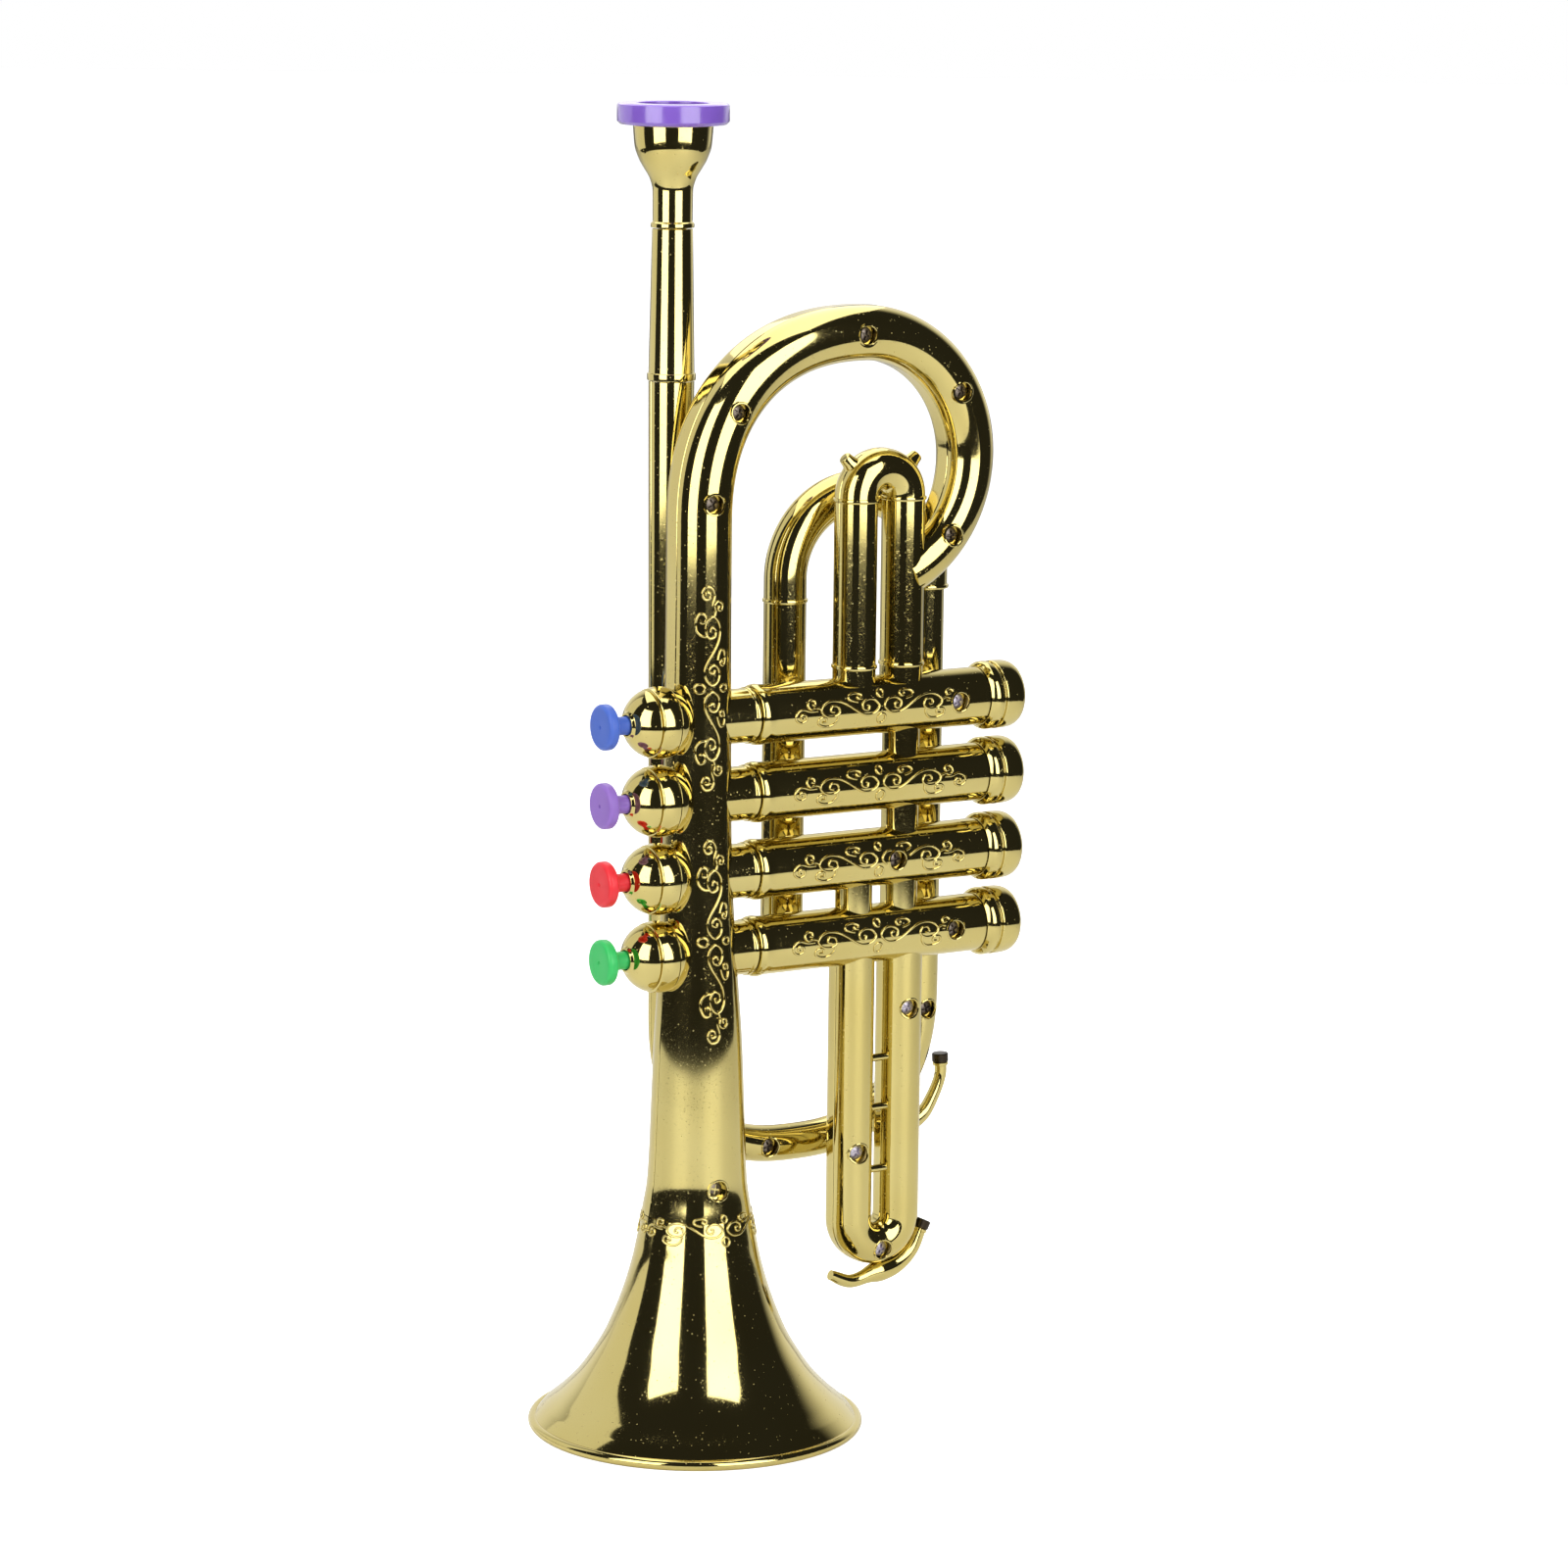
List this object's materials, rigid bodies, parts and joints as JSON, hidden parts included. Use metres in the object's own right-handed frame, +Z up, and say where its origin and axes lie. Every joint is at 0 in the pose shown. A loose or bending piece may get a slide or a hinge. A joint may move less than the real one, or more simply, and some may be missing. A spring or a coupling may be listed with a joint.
{
  "type": "toy trumpet",
  "caption": "Toy trumpet with a flared bell, looped tube, row of valve casings with coloured press keys, front and rear slides and finger hooks; it stands on its bell.",
  "frame": {"origin": "centre of the whole toy's bounding box, on the plane that the bell's rim stands on", "axes": "+Z up, from the bell's rim to the mouthpiece; +X along the valve casings, from the coloured keys to the end caps; -Y is the side with the screws"},
  "size_m": [0.1526, 0.0962, 0.3767],
  "materials": {
    "gold_plating": "vacuum-plated mirror gold over moulded plastic",
    "blue_plastic": "moulded, satin gloss",
    "lilac_plastic": "moulded, satin gloss",
    "red_plastic": "moulded, satin gloss",
    "green_plastic": "moulded, satin gloss",
    "purple_plastic": "moulded, satin gloss",
    "steel_screws": "bright zinc",
    "spring_steel": "drawn wire",
    "reed_brass": "rolled sheet",
    "rubber": "moulded"
  },
  "bodies": {
    "trumpet": {"bell": "gold_plating", "body_front": "gold_plating", "body_rear": "gold_plating", "key_cap_1": "gold_plating", "spring_1": "spring_steel", "reed_plate_1": "reed_brass", "key_cap_2": "gold_plating", "spring_2": "spring_steel", "reed_plate_2": "reed_brass", "key_cap_3": "gold_plating", "spring_3": "spring_steel", "reed_plate_3": "reed_brass", "key_cap_4": "gold_plating", "spring_4": "spring_steel", "reed_plate_4": "reed_brass", "valve_casings_front": "gold_plating", "valve_casings_rear": "gold_plating", "end_cap_1": "gold_plating", "end_cap_2": "gold_plating", "end_cap_3": "gold_plating", "end_cap_4": "gold_plating", "upper_crook_front": "gold_plating", "upper_crook_rear": "gold_plating", "front_slide_front": "gold_plating", "front_slide_rear": "gold_plating", "leadpipe_front": "gold_plating", "leadpipe_rear": "gold_plating", "rear_crook_front": "gold_plating", "rear_crook_rear": "gold_plating", "mouth_ring": "purple_plastic", "mouthpiece_cup": "gold_plating", "mouthpipe_sleeve": "gold_plating", "front_hook": "gold_plating", "rear_hook": "gold_plating", "loop_screw_1": "steel_screws", "loop_screw_2": "steel_screws", "loop_screw_3": "steel_screws", "loop_screw_4": "steel_screws", "loop_screw_5": "steel_screws", "bell_screw_1": "steel_screws", "valve_screw_1": "steel_screws", "valve_screw_2": "steel_screws", "valve_screw_3": "steel_screws", "slide_screw_1": "steel_screws", "slide_screw_2": "steel_screws", "slide_screw_3": "steel_screws", "tuning_screw_1": "steel_screws", "tuning_screw_2": "steel_screws"},
    "blue_key": {"button_1": "blue_plastic", "seal_1": "rubber"},
    "lilac_key": {"button_2": "lilac_plastic", "seal_2": "rubber"},
    "red_key": {"button_3": "red_plastic", "seal_3": "rubber"},
    "green_key": {"button_4": "green_plastic", "seal_4": "rubber"}
  },
  "joints": [
    {"name": "blue_key_press", "type": "slide", "parent": "trumpet", "child": "blue_key", "axis": [1, 0, 0], "range_m": [0, 0.0028], "stiffness_N_per_m": 160, "springref_m": -0.0012, "deforming": ["spring_1"]},
    {"name": "lilac_key_press", "type": "slide", "parent": "trumpet", "child": "lilac_key", "axis": [1, 0, 0], "range_m": [0, 0.0028], "stiffness_N_per_m": 160, "springref_m": -0.0012, "deforming": ["spring_2"]},
    {"name": "red_key_press", "type": "slide", "parent": "trumpet", "child": "red_key", "axis": [1, 0, 0], "range_m": [0, 0.0028], "stiffness_N_per_m": 160, "springref_m": -0.0012, "deforming": ["spring_3"]},
    {"name": "green_key_press", "type": "slide", "parent": "trumpet", "child": "green_key", "axis": [1, 0, 0], "range_m": [0, 0.0028], "stiffness_N_per_m": 160, "springref_m": -0.0012, "deforming": ["spring_4"]}
  ]
}
